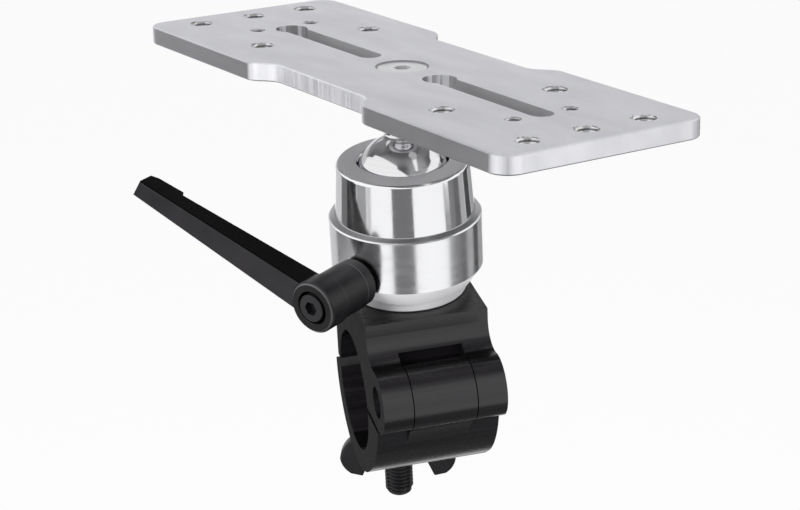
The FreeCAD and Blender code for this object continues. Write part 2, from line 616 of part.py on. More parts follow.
def saddle_front():
    """The saddle's full-width section, with the hinge knuckles in front."""
    start, middle, touch = knuckle_outline(SADDLE_HALF_DEPTH, hinge_centre(), KNUCKLE_RADIUS)
    bottom = V(HINGE_X, 0, HINGE_Z - KNUCKLE_RADIUS)
    inner_front = V(on_bore(SADDLE_UNDERSIDE_FRONT), 0, SADDLE_UNDERSIDE_FRONT)
    under_front = V(HINGE_X - KNUCKLE_RADIUS, 0, SADDLE_UNDERSIDE_FRONT)
    inner_rear = V(-on_bore(SADDLE_UNDERSIDE_REAR), 0, SADDLE_UNDERSIDE_REAR)
    under_rear = V(-SADDLE_HALF_DEPTH, 0, SADDLE_UNDERSIDE_REAR)
    top_front = V(SADDLE_HALF_DEPTH, 0, SADDLE_TOP)
    top_rear = V(-SADDLE_HALF_DEPTH, 0, SADDLE_TOP)
    edges = [line(top_rear, top_front), line(top_front, start), arc(start, middle, touch),
             arc(touch, on_circle(hinge_centre(), KNUCKLE_RADIUS, 0), bottom),
             line(bottom, under_front), line(under_front, inner_front),
             arc(inner_front, V(0, 0, BORE_RADIUS), inner_rear),
             line(inner_rear, under_rear), line(under_rear, top_rear)]
    return extruded_y(edges, CLAMP_WIDTH)


def saddle_rear():
    """The narrower ears at the back that carry the swing bolt's pin."""
    start, middle, touch = knuckle_outline(-SADDLE_HALF_DEPTH, eye_centre(), EAR_RADIUS)
    bottom = V(EYE_X, 0, EYE_Z - EAR_RADIUS)
    inner = V(-on_bore(SADDLE_UNDERSIDE_REAR), 0, SADDLE_UNDERSIDE_REAR)
    top = V(-on_bore(SADDLE_UNDERSIDE_REAR), 0, start.z)
    edges = [line(top, start), arc(start, middle, touch),
             arc(touch, on_circle(eye_centre(), EAR_RADIUS, 180), bottom),
             line(bottom, V(-SADDLE_HALF_DEPTH, 0, SADDLE_UNDERSIDE_REAR)),
             line(V(-SADDLE_HALF_DEPTH, 0, SADDLE_UNDERSIDE_REAR), inner), line(inner, top)]
    bore = cylinder(BORE_RADIUS, CLAMP_WIDTH, V(0, -CLAMP_WIDTH / 2, 0), Y_AXIS)
    return extruded_y(edges, LUG_WIDTH).cut(bore)


def pin_hole(radius, centre):
    return cylinder(radius, CLAMP_WIDTH, V(centre.x, -CLAMP_WIDTH / 2, centre.z), Y_AXIS)


def make_clamp_saddle():
    saddle = saddle_front().fuse(saddle_rear())
    half_knuckle = KNUCKLE_WIDTH / 2 + KNUCKLE_GAP
    pocket_x = HINGE_X - KNUCKLE_RADIUS - 2 * KNUCKLE_GAP
    pocket_top = POCKET_TOP
    far = 2 * PLATE_WIDTH
    saddle = saddle.cut(box((pocket_x, -half_knuckle, -far), (far, half_knuckle, pocket_top)))
    half_slot = EYE_WIDTH / 2 + EYE_GAP
    slot_x = EYE_X + EYE_RADIUS + 2 * EYE_GAP
    slot_top = EYE_Z + EAR_RADIUS + 2 * EYE_GAP
    saddle = saddle.cut(box((-far, -half_slot, -far), (slot_x, half_slot, slot_top)))
    saddle = saddle.cut(pin_hole(HINGE_PIN_RADIUS, hinge_centre()))
    for side in (-1, 1):
        mouth = V(HINGE_X, side * CLAMP_WIDTH / 2, HINGE_Z)
        saddle = saddle.cut(cylinder(PIN_RECESS_RADIUS, PIN_RECESS_DEPTH, mouth, Y_AXIS * -side))
    saddle = saddle.cut(pin_hole(EYE_PIN_RADIUS, eye_centre()))
    return saddle.cut(head_bolt_solid()).cut(
        cylinder(HEAD_BOLT_HEAD_RADIUS, HEAD_BOLT_HEAD + HEAD_BOLT_SINK, V(0, 0, BORE_RADIUS)).fuse(
            cylinder(HEAD_BOLT_HEAD_RADIUS, BORE_RADIUS, V(0, 0, 0))))


def jaw_shell():
    """The lower half round the tube, with its bowed front."""
    corner = V(JAW_FRONT_X, 0, JAW_LEDGE)
    fall = math.radians(-50.0)
    meet = V(JAW_OUTER_RADIUS * math.cos(fall), 0, JAW_OUTER_RADIUS * math.sin(fall))
    chord = meet - corner
    half = chord.Length / 2
    bulge = JAW_FRONT_RADIUS - math.sqrt(JAW_FRONT_RADIUS ** 2 - half ** 2)
    outward = V(-chord.z, 0, chord.x).normalize()
    middle = (corner + meet) * 0.5 + outward * bulge
    rear_outer = V(-math.sqrt(JAW_OUTER_RADIUS ** 2 - JAW_REAR_TOP ** 2), 0, JAW_REAR_TOP)
    rear_inner = V(-on_bore(JAW_REAR_TOP), 0, JAW_REAR_TOP)
    front_inner = V(on_bore(JAW_LEDGE), 0, JAW_LEDGE)
    edges = [arc(corner, middle, meet), arc(meet, V(0, 0, -JAW_OUTER_RADIUS), rear_outer),
             line(rear_outer, rear_inner), arc(rear_inner, V(0, 0, -BORE_RADIUS), front_inner),
             line(front_inner, corner)]
    return extruded_y(edges, CLAMP_WIDTH)


def jaw_lug():
    """The slotted lug under the swing bolt; its seat is an arc about the bolt's pin."""
    block = box((LUG_END_X, -LUG_WIDTH / 2, EYE_Z - SEAT_RADIUS - 1), (-on_bore(JAW_REAR_TOP), LUG_WIDTH / 2,
                                                                     JAW_REAR_TOP))
    uprights = [e for e in block.Edges if e.BoundBox.ZLength > 5 and e.CenterOfMass.x < LUG_END_X + 1]
    block = block.makeFillet(LUG_CORNER, uprights)
    seat = cylinder(SEAT_RADIUS, CLAMP_WIDTH, V(EYE_X, -CLAMP_WIDTH / 2, EYE_Z), Y_AXIS)
    bore = cylinder(BORE_RADIUS, CLAMP_WIDTH, V(0, -CLAMP_WIDTH / 2, 0), Y_AXIS)
    return block.common(seat).cut(bore)


def jaw_knuckle():
    """The middle knuckle, with the web that carries it down into the jaw."""
    start = on_circle(hinge_centre(), KNUCKLE_RADIUS, -58)
    inner = on_circle(hinge_centre(), KNUCKLE_RADIUS, 180)
    low_front = V(JAW_FRONT_X - KNUCKLE_WEB_SET_BACK, 0, JAW_LEDGE - KNUCKLE_WEB_DROP)
    dip = V(JAW_FRONT_X + KNUCKLE_WEB_DIP, 0, JAW_LEDGE - KNUCKLE_WEB_DIP)
    low_inner = V(inner.x, 0, low_front.z)
    edges = [arc(inner, on_circle(hinge_centre(), KNUCKLE_RADIUS, 61), start), arc(start, dip, low_front),
             line(low_front, low_inner), line(low_inner, inner)]
    return extruded_y(edges, KNUCKLE_WIDTH)


def make_clamp_jaw():
    jaw = jaw_shell().fuse(jaw_lug()).fuse(jaw_knuckle()).removeSplitter()
    half_slot = BOLT_RADIUS + BOLT_SLOT_GAP
    far = 2 * PLATE_WIDTH
    jaw = jaw.cut(cylinder(half_slot, far, V(EYE_X, 0, -far), Z_AXIS))
    jaw = jaw.cut(box((-far, -half_slot, -far), (EYE_X, half_slot, 0)))
    return jaw.cut(pin_hole(HINGE_PIN_RADIUS + FIT, hinge_centre()))


def make_hinge_pin():
    length = CLAMP_WIDTH - 2 * PIN_RECESS_DEPTH
    pin = cylinder(HINGE_PIN_RADIUS, length, V(HINGE_X, -length / 2, HINGE_Z), Y_AXIS)
    ends = [e for e in pin.Edges if e.BoundBox.YLength < 0.01]
    return pin.makeChamfer(PLATE_EDGE, ends)


def make_eye_pin():
    """Headed pin through the ears and the bolt's eye."""
    pin = cylinder(EYE_PIN_RADIUS, LUG_WIDTH, V(EYE_X, -LUG_WIDTH / 2, EYE_Z), Y_AXIS)
    for side in (-1, 1):
        base = V(EYE_X, side * LUG_WIDTH / 2, EYE_Z)
        pin = pin.fuse(cone(PIN_HEAD_RADIUS, PIN_HEAD_RADIUS - 1, PIN_HEAD, base, Y_AXIS * side))
    return pin


def make_swing_bolt():
    """Eye bolt: the eye turns on its pin, and the shank hangs through the jaw's slot."""
    eye = cylinder(EYE_RADIUS, EYE_WIDTH, V(EYE_X, -EYE_WIDTH / 2, EYE_Z), Y_AXIS)
    rims = [e for e in eye.Edges if e.BoundBox.YLength < 0.01]
    eye = eye.makeChamfer(BOLT_TIP, rims)
    shank = turned([(0, 0), (0, BOLT_END - EYE_Z), (BOLT_RADIUS - BOLT_TIP, BOLT_END - EYE_Z),
                    (BOLT_RADIUS, BOLT_END - EYE_Z + BOLT_TIP), (BOLT_RADIUS, 0)])
    shank.translate(eye_centre())
    return eye.fuse(shank).cut(pin_hole(EYE_PIN_RADIUS + FIT, eye_centre()))


def washer_top():
    return EYE_Z - SEAT_RADIUS - SEAT_GAP


def nut_top():
    return washer_top() - WASHER_THICKNESS - NUT_GAP


def make_nut_washer():
    base = V(EYE_X, 0, washer_top() - WASHER_THICKNESS)
    return cylinder(WASHER_RADIUS, WASHER_THICKNESS, base).cut(
        cylinder(BOLT_RADIUS + 2 * NUT_GAP, WASHER_THICKNESS, base))


def make_wing_nut():
    """Nut with two flaring wings, drawn with its bearing face at z = 0 and its wings hanging down."""
    hub = cone(NUT_HUB_TIP_RADIUS, NUT_HUB_RADIUS, NUT_HUB_HEIGHT, V(0, 0, -NUT_HUB_HEIGHT))
    rim = [e for e in hub.Edges if e.BoundBox.ZLength < 0.01]
    hub = hub.makeFillet(HUB_EDGE, rim)
    reach = WING_SPAN / 2
    root = BOLT_RADIUS - 2.0
    tall = WING_DROP - WING_SHOULDER
    wing = [V(root, 0, -WING_ROOT_TOP), V(reach * 0.66, 0, -WING_SHOULDER),
            V(reach * 0.93, 0, -WING_SHOULDER - 0.296 * tall), V(reach, 0, -WING_SHOULDER - 0.561 * tall),
            V(reach * 0.968, 0, -WING_SHOULDER - 0.714 * tall), V(reach * 0.82, 0, -WING_SHOULDER - 0.939 * tall),
            V(reach * 0.62, 0, -WING_DROP), V(reach * 0.5, 0, -WING_SHOULDER - 0.638 * tall),
            V(root, 0, -WING_ROOT_FOOT)]
    upper = arc(wing[1], wing[2], wing[3])
    lower = arc(wing[3], wing[4], wing[5])
    edges = [line(wing[0], wing[1]), upper, lower, line(wing[5], wing[6]), line(wing[6], wing[7]),
             line(wing[7], wing[8]), line(wing[8], wing[0])]
    blade = extruded_y(edges, WING_THICKNESS)
    across = [e for e in blade.Edges if e.BoundBox.YLength > 1 and e.CenterOfMass.x > reach * 0.6]
    blade = blade.makeFillet(WING_EDGE, across)
    rims = [e for e in blade.Edges if e.BoundBox.YLength < 0.01 and e.BoundBox.XMax > reach * 0.55]
    blade = blade.makeFillet(WING_EDGE, rims)
    other = blade.copy()
    other.rotate(V(0, 0, 0), Z_AXIS, 180)
    nut = hub.fuse(blade).fuse(other)
    nut = nut.cut(cylinder(BOLT_RADIUS + NUT_GAP, 2 * WING_DROP, V(0, 0, -2 * WING_DROP)))
    nut.rotate(V(0, 0, 0), Z_AXIS, 90 - WING_TURN)
    nut.translate(V(EYE_X, 0, nut_top()))
    return nut


def build():
    """Every piece under its node name. Pieces drawn in clamp axes are placed here."""
    parts = {
        "top_plate": make_top_plate(),
        "plate_screw": make_plate_screw(),
        "ball_stem": make_ball_stem(),
        "lever_stud": make_lever_stud(),
        "lever_arm": make_lever_arm(),
        "lever_screw": make_lever_screw(),
        "lever_spring": make_lever_spring(),
    }
    upright = {
        "socket_ring": make_socket_ring,
        "head_body": make_head_body,
        "seat_cup": make_seat_cup,
        "head_base": make_head_base,
        "head_bolt": make_head_bolt,
        "brake_pad": make_brake_pad,
        "clamp_saddle": make_clamp_saddle,
        "clamp_jaw": make_clamp_jaw,
        "hinge_pin": make_hinge_pin,
        "eye_pin": make_eye_pin,
        "swing_bolt": make_swing_bolt,
        "nut_washer": make_nut_washer,
        "wing_nut": make_wing_nut,
    }
    for name, make in upright.items():
        parts[name] = placed(make(), CLAMP)
    return parts


def main():
    os.makedirs("parts", exist_ok=True)
    for name, shape in build().items():
        assert shape.isValid(), name
        print(name, len(shape.Solids), round(shape.Volume))
        shape.exportStep("parts/" + name + ".step")
    for label, local in (("tube axis", Y_AXIS), ("head axis", Z_AXIS), ("towards hinge", X_AXIS)):
        axis = CLAMP.Rotation.multVec(local)
        print(label, round(axis.x, 6), round(axis.y, 6), round(axis.z, 6))


main()
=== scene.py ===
import json
import math

import bmesh
import bpy
from mathutils import Matrix, Quaternion, Vector


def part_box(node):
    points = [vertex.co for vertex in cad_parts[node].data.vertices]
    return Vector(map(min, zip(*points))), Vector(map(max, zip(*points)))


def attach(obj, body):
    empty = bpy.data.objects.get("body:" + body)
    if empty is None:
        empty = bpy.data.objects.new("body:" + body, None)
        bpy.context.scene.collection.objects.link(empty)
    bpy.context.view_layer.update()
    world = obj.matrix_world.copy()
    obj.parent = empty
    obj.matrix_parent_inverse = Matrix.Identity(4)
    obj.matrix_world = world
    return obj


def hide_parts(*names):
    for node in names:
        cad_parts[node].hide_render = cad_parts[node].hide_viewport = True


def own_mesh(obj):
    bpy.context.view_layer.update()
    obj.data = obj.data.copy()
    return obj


# Looks of the camera mounting plate. Metres, in the frame's axes.
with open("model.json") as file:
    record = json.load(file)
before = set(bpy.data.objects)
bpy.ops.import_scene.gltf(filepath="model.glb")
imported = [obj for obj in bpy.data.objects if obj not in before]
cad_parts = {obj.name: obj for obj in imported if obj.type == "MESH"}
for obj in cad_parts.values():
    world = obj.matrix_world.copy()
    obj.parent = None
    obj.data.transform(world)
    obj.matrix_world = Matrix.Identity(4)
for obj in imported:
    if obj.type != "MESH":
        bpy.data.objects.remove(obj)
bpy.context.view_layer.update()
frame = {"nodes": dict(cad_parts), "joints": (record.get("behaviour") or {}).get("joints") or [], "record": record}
nodes = frame["nodes"]
record = frame["record"]
joints = {j["name"]: j for j in frame["joints"]}
mounts = {m["name"]: m for m in record["mounts"]}

MM = 0.001
ALONG = Vector((1, 0, 0))
ACROSS = Vector((0, 1, 0))
UP = Vector((0, 0, 1))

# Camera, from the photograph's vanishing lines
CAMERA_PLACE = Vector((0.6824, -0.4551, 0.3252))
CAMERA_AIM = Vector((0.0245, -0.0216, 0.0640))
CAMERA_ROLL = math.radians(-0.66)
CAMERA_LENS = 98.35
CAMERA_CLIP = (0.01, 100.0)
SENSOR = 36.0

# Axes and places of the pieces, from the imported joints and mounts
HEAD_AXIS = Vector(joints["head_pan"]["axis"]).normalized()
PLATE_AXIS = Vector(joints["plate_spin"]["axis"]).normalized()
TUBE_AXIS = Vector(mounts["tube_clamp"]["axis"]).normalized()
LEVER_AXIS = Vector(joints["lever_turn"]["axis"]).normalized()
LEVER_PLACE = Vector(joints["lever_turn"]["pos_m"])
LIFT_AXIS = Vector(joints["lever_lift"]["axis"]).normalized()
BALL_CENTRE = Vector(joints["ball_tilt"]["pos_m"])
EYE_CENTRE = Vector(joints["bolt_swing"]["pos_m"])
PLATE_LOW, PLATE_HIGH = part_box("top_plate")
PLATE_CENTRE = (PLATE_LOW + PLATE_HIGH) / 2
PLATE_THICKNESS = PLATE_HIGH.z - PLATE_LOW.z


def reach_along(node, axis, origin):
    """How far a node's mesh reaches down and up an axis from a point on it."""
    heights = [(v.co - origin).dot(axis) for v in nodes[node].data.vertices]
    return min(heights), max(heights)


# Noise, in waves a metre along each axis
GRAIN_WAVES = (260, 2600, 2600)
CLOUD_WAVES = (22, 60, 60)
TOOL_WAVES = (900, 900, 25)
STREAK_WAVES = (420, 420, 12)
SMEAR_WAVES = (110, 110, 260)
DRAWING_WAVES = (420, 420, 14)
SOFT_WAVES = (60, 60, 60)
FLOOR_WAVES = (3, 3, 3)
FINE_WAVES = 700
METAL_WAVES = 900

# Nearly all of a noise's values lie between these
NOISE_LOW = 0.3
NOISE_HIGH = 0.7

# Sockets of the mix node, which has a pair of inputs with the same names for each kind of value
MIX_NUMBERS = (2, 3)
MIX_COLOURS = (6, 7)
MIXED_COLOUR = 2

# Regions of the plate, as distances from its centre
DRAWN_EDGE = 43.0 * MM
INNER_ACROSS = 35.0 * MM
INNER_ALONG = 118.0 * MM
SINK_RADIUS = 13.0 * MM
WAIST_END = 90.0 * MM

# How squarely a face has to lie to an axis to count as facing along it
SQUARE_ON = 0.9
STRAIGHT_WALL = 0.97
END_WALL = 0.99
UNDERSIDE = -0.5
CLAMP_TOP = 0.97
HUB_END = 0.95
UPWARD = 0.4

# The plate's looks
PLATE_COLOURS = (0.82, 0.822, 0.862), (0.955, 0.957, 0.99)
# Painted shade on the straight walls of the plate's inner cut-outs
PAINTED_WALL_SHADE = (0.64, 0.64, 0.655)
# Painted shade on the walls of the plate's sunk middle
PAINTED_SINK_SHADE = (0.42, 0.42, 0.43)
# Painted shade, in streaks, on the curved walls of the plate's inner cut-outs
PAINTED_STREAK_SHADE = (0.40, 0.40, 0.41)
# Painted shade on the plate's downward faces
PAINTED_UNDERSIDE_SHADE = (0.40, 0.40, 0.41)
STREAK_CONTRAST = (-1.5, 2.5)
FACE_ROUGH = (0.28, 0.40)
DRAWN_ROUGH = (0.32, 0.35)
MILLED_ROUGH = (0.40, 0.54)
WAIST_DIFFUSE = (0.10, 0.18)
FACE_RELIEF = 0.2
DRAWN_RELIEF = 0.02
TOOL_HEIGHT = 0.05 * MM
TOOL_STRENGTH = 0.5

# Turned and polished metal
TURNED_PITCH = 0.5 * MM
COARSE_PITCH = 0.3 * MM
COARSE_HEIGHT = 0.004 * MM
TURNED_STRENGTH = 0.2
SMEAR_ROUGH = (-0.03, 0.05)
POLISH_COLOUR = (0.93, 0.932, 0.95)

# Grain of a piece that isn't metal
FINE_HEIGHT = 0.01 * MM
FINE_STRENGTH = 0.4

# Black coatings
COAT_DARK = 0.7
COAT_LIGHT = 1.5
SHEEN_SPREAD = 0.07
MATT_ROUGH = (0.75, 0.85)
# Painted shade: black coats are darkened towards this black, at this share, on faces that look some ways
PAINTED_SHADE_SHARE = 0.7
PAINTED_SHADE_BLACK = (0.008, 0.008, 0.008)
# Thin lighter lines at the lever hub's steps: wear with a painted edge highlight
WEAR_AND_HIGHLIGHT_COLOUR = (0.09, 0.09, 0.095)
WEAR_AND_HIGHLIGHT_SHARE = (0.5, 1.0)
WEAR_AND_HIGHLIGHT_WIDTH = 0.45 * MM
HUB_RADIUS = 10.4 * MM
HUB_STEPS = (35.5 * MM, 48.2 * MM, 57.6 * MM)

# Heights on the head's and the plate's axis where a piece's finish changes. FAR_BELOW lies under
# every piece, and STEP is half the width of a change.
CONE_TOP = reach_along("head_body", HEAD_AXIS, BALL_CENTRE)[0] + 6.8 * MM
BODY_RIM = reach_along("head_body", HEAD_AXIS, BALL_CENTRE)[0] + 27.95 * MM
COLLAR_RIM = reach_along("socket_ring", HEAD_AXIS, BALL_CENTRE)[1] - 0.75 * MM
SOCKET_MOUTH = reach_along("plate_screw", PLATE_AXIS, BALL_CENTRE)[1] - 0.3 * MM
FAR_BELOW = -1.0
STEP = 0.05 * MM


class Nodes:
    """A material's node tree with short calls to add and link nodes."""

    def __init__(self, name, metallic=0.0):
        self.material = bpy.data.materials.new(name)
        self.material.use_nodes = True
        self.tree = self.material.node_tree
        self.shader = self.tree.nodes["Principled BSDF"]
        self.shader.inputs["Metallic"].default_value = metallic

    def add(self, kind, **inputs):
        node = self.tree.nodes.new(kind)
        for key, value in inputs.items():
            node.inputs[key.replace("_", " ")].default_value = value
        return node

    def link(self, a, b):
        self.tree.links.new(a, b)

    def feed(self, value, socket):
        """Sets a socket to a number or links an output to it."""
        if isinstance(value, (int, float)):
            socket.default_value = value
        else:
            self.link(value, socket)

    def plug(self, value, name):
        """Links an output to one of the shader's sockets."""
        self.link(value, self.shader.inputs[name])

    def scaled(self, place, scale):
        mapping = self.add("ShaderNodeMapping")
        mapping.inputs["Scale"].default_value = scale
        self.link(place, mapping.inputs["Vector"])
        return mapping.outputs[0]

    def coordinates(self, scale=(1, 1, 1), axis=None, origin=None):
        """The piece's own coordinates in metres, with z along an axis and from a point if they are given."""
        place = self.add("ShaderNodeTexCoord").outputs["Object"]
        if axis is not None:
            shift = self.add("ShaderNodeVectorMath")
            shift.operation = "SUBTRACT"
            shift.inputs[1].default_value = origin
            self.link(place, shift.inputs[0])
            turn = self.add("ShaderNodeVectorRotate")
            turn.rotation_type = "EULER_XYZ"
            turn.inputs["Rotation"].default_value = axis.rotation_difference(UP).to_euler("XYZ")
            self.link(shift.outputs[0], turn.inputs["Vector"])
            place = turn.outputs[0]
        return self.scaled(place, scale)

    def split(self, place):
        """The x, y and z outputs of a place."""
        node = self.add("ShaderNodeSeparateXYZ")
        self.link(place, node.inputs[0])
        return node.outputs[0], node.outputs[1], node.outputs[2]

    def joined(self, x, y):
        node = self.add("ShaderNodeCombineXYZ")
        self.link(x, node.inputs[0])
        self.link(y, node.inputs[1])
        return node.outputs[0]

    def turned(self, axis, origin, pitch):
        """Coordinates that change only with radius and height about an axis, as lathe marks do."""
        x, y, z = self.split(self.coordinates(axis=axis, origin=origin))
        length = self.add("ShaderNodeVectorMath")
        length.operation = "LENGTH"
        self.link(self.joined(x, y), length.inputs[0])
        return self.scaled(self.joined(length.outputs["Value"], z), (1 / pitch, 1 / pitch, 1))

    def noise(self, place, detail=3.0):
        node = self.add("ShaderNodeTexNoise", Scale=1.0, Detail=detail, Roughness=0.5)
        self.link(place, node.inputs["Vector"])
        return node.outputs["Fac"]

    def height_mask(self, axis, origin, start, end):
        """0 to 1 as the height along an axis goes from start to end."""
        node = self.add("ShaderNodeMapRange", From_Min=start, From_Max=end)
        self.link(self.split(self.coordinates(axis=axis, origin=origin))[2], node.inputs["Value"])
        return node.outputs[0]

    def between(self, mask, plain, masked):
        """One value where the mask is 0 and the other where it is 1."""
        node = self.add("ShaderNodeMix")
        self.link(mask, node.inputs[0])
        for value, socket in zip((plain, masked), MIX_NUMBERS):
            self.feed(value, node.inputs[socket])
        return node.outputs[0]

    def math(self, operation, a, b=0.0):
        """One arithmetic step with outputs or numbers."""
        node = self.add("ShaderNodeMath")
        node.operation = operation
        self.feed(a, node.inputs[0])
        self.feed(b, node.inputs[1])
        return node.outputs[0]

    def times(self, first, *others):
        for other in others:
            first = self.math("MULTIPLY", first, other)
        return first

    def opposite(self, mask):
        return self.math("SUBTRACT", 1.0, mask)

    def over(self, value, least):
        """1 where a value is over a number, and 0 elsewhere."""
        return self.math("GREATER_THAN", value, least)

    def under(self, value, most):
        """1 where a value is under a number, and 0 elsewhere."""
        return self.math("LESS_THAN", value, most)

    def in_circle(self, x, y, radius):
        """1 where x and y lie in a circle about 0, and 0 elsewhere."""
        return self.under(self.math("ADD", self.times(x, x), self.times(y, y)), radius ** 2)

    def towards(self, axis):
        """How far the surface faces along an axis of its own piece, from -1 to 1."""
        geometry = self.add("ShaderNodeNewGeometry")
        own = self.add("ShaderNodeVectorTransform")
        own.vector_type = "NORMAL"
        own.convert_from = "WORLD"
        own.convert_to = "OBJECT"
        self.link(geometry.outputs["True Normal"], own.inputs[0])
        dot = self.add("ShaderNodeVectorMath")
        dot.operation = "DOT_PRODUCT"
        dot.inputs[1].default_value = axis
        self.link(own.outputs[0], dot.inputs[0])
        return dot.outputs["Value"]

    def facing(self, axis, least=SQUARE_ON):
        """1 where the surface faces along an axis, either way, and 0 elsewhere."""
        return self.over(self.math("ABSOLUTE", self.towards(axis)), least)

    def laid_over(self, mask, beneath, colour):
        """A colour output, with a second colour laid over it where the mask is 1."""
        below_socket, above_socket = MIX_COLOURS
        node = self.add("ShaderNodeMix")
        node.data_type = "RGBA"
        self.link(mask, node.inputs[0])
        self.link(beneath, node.inputs[below_socket])
        node.inputs[above_socket].default_value = (*colour, 1)
        return node.outputs[MIXED_COLOUR]

    def shaded(self, mask, colour):
        """Lays a second colour over the shader's own where the mask is 1."""
        beneath = self.shader.inputs["Base Color"].links[0].from_socket
        self.plug(self.laid_over(mask, beneath, colour), "Base Color")

    def paint_shade(self, mask):
        """Paints shade on a black coating where the mask is 1, darkening it and taking its sheen off."""
        self.shaded(mask, PAINTED_SHADE_BLACK)
        self.plug(mask, "Metallic")

    def spread(self, value, low, high):
        """A noise spread between two numbers."""
        node = self.add("ShaderNodeMapRange", From_Min=NOISE_LOW, From_Max=NOISE_HIGH,
                        To_Min=low, To_Max=high)
        self.link(value, node.inputs["Value"])
        return node.outputs[0]

    def tint(self, value, low, high):
        """Colours the shader by a noise."""
        node = self.add("ShaderNodeValToRGB")
        for element, position, colour in zip(node.color_ramp.elements, (NOISE_LOW, NOISE_HIGH), (low, high)):
            element.position = position
            element.color = (*colour, 1)
        self.link(value, node.inputs[0])
        self.plug(node.outputs[0], "Base Color")

    def bump(self, value, height, strength=1.0):
        node = self.add("ShaderNodeBump", Strength=strength, Distance=height)
        self.link(value, node.inputs["Height"])
        self.plug(node.outputs[0], "Normal")


# Finishes

def satin_aluminium():
    """Fine grain on the faces, smooth drawn edges, and milled edges with upright tool marks."""
    m = Nodes("satin_aluminium", metallic=1.0)
    grain = m.noise(m.coordinates(GRAIN_WAVES), detail=4.0)
    cloud = m.noise(m.coordinates(CLOUD_WAVES), detail=4.0)
    tool = m.noise(m.coordinates(TOOL_WAVES), detail=4.0)
    streak = m.spread(m.noise(m.coordinates(STREAK_WAVES), detail=2.0), *STREAK_CONTRAST)
    x, y, _ = m.split(m.coordinates(axis=PLATE_AXIS, origin=PLATE_CENTRE))
    along = m.math("ABSOLUTE", x)
    across = m.math("ABSOLUTE", y)
    side = m.opposite(m.facing(UP))
    outer = m.over(across, DRAWN_EDGE)
    drawn = m.times(side, outer)
    milled = m.times(side, m.opposite(outer))
    waist = m.times(milled, m.under(along, WAIST_END), m.over(across, INNER_ACROSS))
    inner = m.times(m.under(across, INNER_ACROSS), m.under(along, INNER_ALONG))
    flat = m.math("MAXIMUM", m.facing(ACROSS, STRAIGHT_WALL), m.facing(ALONG, END_WALL))
    m.tint(cloud, *PLATE_COLOURS)
    # Painted shade: darker straight walls in the inner cut-outs
    m.shaded(m.times(m.facing(ACROSS), inner), PAINTED_WALL_SHADE)
    # Painted shade in the sunk middle of the plate
    m.shaded(m.times(side, m.in_circle(x, y, SINK_RADIUS)), PAINTED_SINK_SHADE)
    # Painted shade in streaks on the curved walls of the inner cut-outs
    m.shaded(m.times(side, m.opposite(flat), inner, streak), PAINTED_STREAK_SHADE)
    # Painted shade on the plate's underside
    m.shaded(m.under(m.towards(UP), UNDERSIDE), PAINTED_UNDERSIDE_SHADE)
    plain = m.between(drawn, m.spread(grain, *FACE_ROUGH), m.spread(grain, *DRAWN_ROUGH))
    m.plug(m.between(milled, plain, m.spread(tool, *MILLED_ROUGH)), "Roughness")
    m.plug(m.opposite(m.times(waist, m.spread(tool, *WAIST_DIFFUSE))), "Metallic")
    relief = m.times(grain, m.between(drawn, FACE_RELIEF, DRAWN_RELIEF))
    m.bump(m.between(milled, relief, tool), TOOL_HEIGHT, TOOL_STRENGTH)
    return m.material


def plain_finish(name, waves, low, high, rough, metallic=1.0):
    """One finish over the whole piece, with a fine noise in its colour and roughness."""
    m = Nodes(name, metallic)
    fine = m.noise(m.coordinates((waves, waves, waves)))
    m.tint(fine, low, high)
    m.plug(m.spread(fine, *rough), "Roughness")
    if metallic == 0.0:
        m.bump(fine, FINE_HEIGHT, FINE_STRENGTH)
    return m.material


def polished(name, axis, low, high, rough, pitch, height, strength=TURNED_STRENGTH):
    """Turned and polished metal with faint lathe marks."""
    m = Nodes(name, metallic=1.0)
    marks = m.noise(m.turned(axis, BALL_CENTRE, pitch))
    m.tint(marks, low, high)
    m.plug(m.spread(marks, *rough), "Roughness")
    m.bump(marks, height, strength)
    return m.material


def above(height):
    """The start and end of a mask that goes from 0 to 1 upwards across a height."""
    return height - STEP, height + STEP


def below(height):
    """The start and end of a mask that goes from 0 to 1 downwards across a height."""
    return height + STEP, height - STEP


def polished_with_bands(name, rough, *bands, axis=HEAD_AXIS):
    """Polished metal with other finishes in bands of height along an axis.

    A band is a mask's start and end, its roughness, how far it is metallic, and its colour.
    """
    m = Nodes(name)
    marks = m.noise(m.turned(axis, BALL_CENTRE, TURNED_PITCH))
    coarse = m.noise(m.turned(axis, BALL_CENTRE, COARSE_PITCH), detail=5.0)
    smear = m.noise(m.coordinates(SMEAR_WAVES), detail=5.0)
    rough = m.math("ADD", m.spread(marks, *rough), m.spread(smear, *SMEAR_ROUGH))
    metal = 1.0
    colour = m.add("ShaderNodeRGB").outputs[0]
    colour.default_value = (*POLISH_COLOUR, 1)
    for start, end, band_rough, band_metal, band_colour in bands:
        mask = m.height_mask(axis, BALL_CENTRE, start, end)
        rough = m.between(mask, rough, m.spread(coarse, *band_rough))
        metal = m.math("SUBTRACT", metal, m.times(mask, 1.0 - band_metal))
        colour = m.laid_over(mask, colour, band_colour)
    m.plug(rough, "Roughness")
    m.plug(metal, "Metallic")
    m.plug(colour, "Base Color")
    m.bump(coarse, COARSE_HEIGHT, TURNED_STRENGTH)
    return m.material


